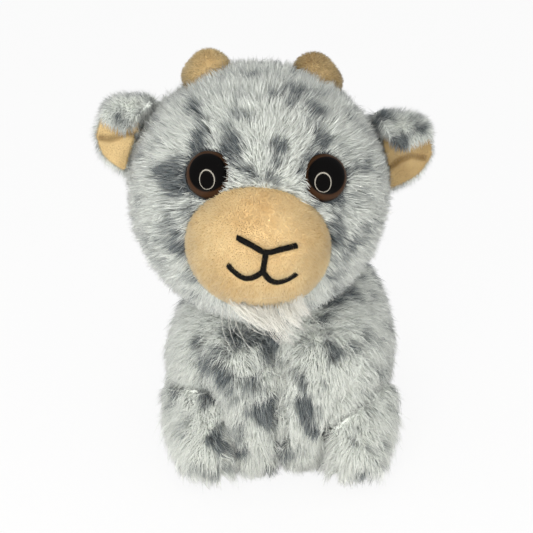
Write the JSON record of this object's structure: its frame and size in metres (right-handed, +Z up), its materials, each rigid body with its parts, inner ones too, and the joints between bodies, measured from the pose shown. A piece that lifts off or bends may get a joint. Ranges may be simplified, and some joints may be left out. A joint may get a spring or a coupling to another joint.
{
  "type": "plush goat",
  "caption": "Seated plush goat with a big round head, sewn horns, folded ears, safety eyes, a short-pile muzzle, an embroidered mouth, a beard and swinging front legs.",
  "frame": {"origin": "middle of the goat's footprint, on the surface that it sits on", "axes": "+Z up; the goat faces -Y and its left side is +X"},
  "size_m": [0.1396, 0.1666, 0.1821],
  "materials": {
    "long_fur": "long pile, white with mottled blue-grey roots",
    "short_pile": "short tan pile",
    "beard_hair": "long white hair",
    "eye_plastic": "clear over a brown iris and a black pupil",
    "washer_plastic": "natural white",
    "thread": "black satin stitch",
    "seat_cloth": "plain woven, white",
    "pouch_cloth": "plain woven, white"
  },
  "bodies": {
    "body": {"torso": "long_fur", "hind_leg_left": "long_fur", "hind_leg_right": "long_fur", "seat_panel": "seat_cloth", "bean_pouch": "pouch_cloth"},
    "head": {"head": "long_fur", "muzzle": "short_pile", "face_embroidery": "thread", "beard": "beard_hair", "horn_left": "short_pile", "horn_right": "short_pile", "eye_left": "eye_plastic", "eye_right": "eye_plastic", "eye_washer_left": "washer_plastic", "eye_washer_right": "washer_plastic"},
    "ear_left": {"ear_back_left": "long_fur", "ear_lining_left": "short_pile"},
    "ear_right": {"ear_back_right": "long_fur", "ear_lining_right": "short_pile"},
    "front_leg_left": {"front_leg_left": "long_fur"},
    "front_leg_right": {"front_leg_right": "long_fur"},
    "tail": {"tail": "long_fur"}
  },
  "joints": [
    {"name": "head_turn", "type": "hinge", "parent": "body", "child": "head", "pos_m": [-0.00295, -0.01685, 0.126], "axis": [0, 0, 1], "range_deg": [-15, 15], "stiffness_Nm_per_rad": 0.02},
    {"name": "front_leg_left_swing", "type": "hinge", "parent": "body", "child": "front_leg_left", "pos_m": [0.02455, -0.03585, 0.057], "axis": [-1, 0, 0], "range_deg": [0, 40], "stiffness_Nm_per_rad": 0.003},
    {"name": "front_leg_right_swing", "type": "hinge", "parent": "body", "child": "front_leg_right", "pos_m": [-0.01245, -0.03585, 0.057], "axis": [-1, 0, 0], "range_deg": [0, 40], "stiffness_Nm_per_rad": 0.003},
    {"name": "ear_left_flop", "type": "hinge", "parent": "head", "child": "ear_left", "pos_m": [0.04915, -0.00434, 0.14041], "axis": [0.3095, -0.2246, -0.924], "range_deg": [-20, 20], "stiffness_Nm_per_rad": 0.01},
    {"name": "ear_right_flop", "type": "hinge", "parent": "head", "child": "ear_right", "pos_m": [-0.05261, -0.00965, 0.14969], "axis": [0.4462, 0.2631, 0.8554], "range_deg": [-20, 20], "stiffness_Nm_per_rad": 0.01},
    {"name": "tail_wag", "type": "hinge", "parent": "body", "child": "tail", "pos_m": [0.02005, 0.06615, 0.04], "axis": [0, 0, 1], "range_deg": [-25, 25], "stiffness_Nm_per_rad": 0.002}
  ]
}
